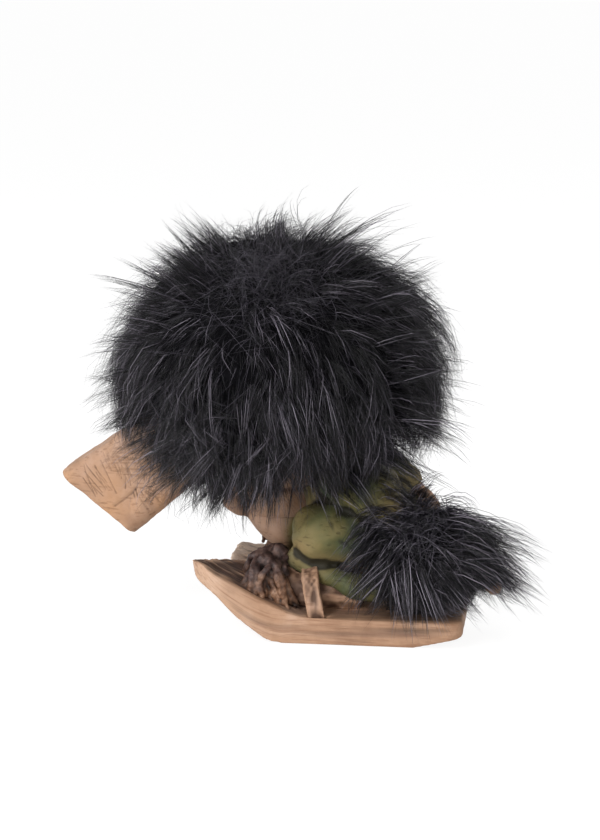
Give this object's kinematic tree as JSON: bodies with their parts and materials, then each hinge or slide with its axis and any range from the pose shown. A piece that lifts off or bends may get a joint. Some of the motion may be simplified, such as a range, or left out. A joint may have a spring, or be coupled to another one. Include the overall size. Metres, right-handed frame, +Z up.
{
  "type": "norwegian troll figure",
  "caption": "Folk ornament of a troll crouching on a pair of short carved skis, with a large blunt nose, a mop of long black fur and a bushy tail.",
  "frame": {"origin": "middle of the overall box, at the height of the surface that the skis stand on", "axes": "+Z up, -Y the way the troll faces, +X towards the troll's own left"},
  "size_m": [0.114, 0.1597, 0.137],
  "materials": {
    "carved_ski": "matte",
    "skin": "matte",
    "instep_hair": "matte",
    "strap": "matte",
    "green_cloth": "matte",
    "peg": "matte",
    "eye_glass": "gloss",
    "backing_cloth": "matte",
    "black_fur": "satin"
  },
  "bodies": {
    "root": {"fur_backing": "backing_cloth", "hair_pile": "black_fur", "head": "skin", "left_ankle_fur": "instep_hair", "left_binding_strap": "strap", "left_eye": "eye_glass", "left_foot": "skin", "left_hand": "skin", "left_ski": "carved_ski", "left_sleeve": "green_cloth", "left_trouser_leg": "green_cloth", "lower_jaw": "skin", "neck_peg": "peg", "nose": "skin", "right_ankle_fur": "instep_hair", "right_binding_strap": "strap", "right_eye": "eye_glass", "right_foot": "skin", "right_hand": "skin", "right_ski": "carved_ski", "right_sleeve": "green_cloth", "right_trouser_leg": "green_cloth", "tail_core": "skin", "tail_pile": "black_fur", "trouser_seat": "green_cloth", "tunic": "green_cloth"}
  },
  "joints": []
}
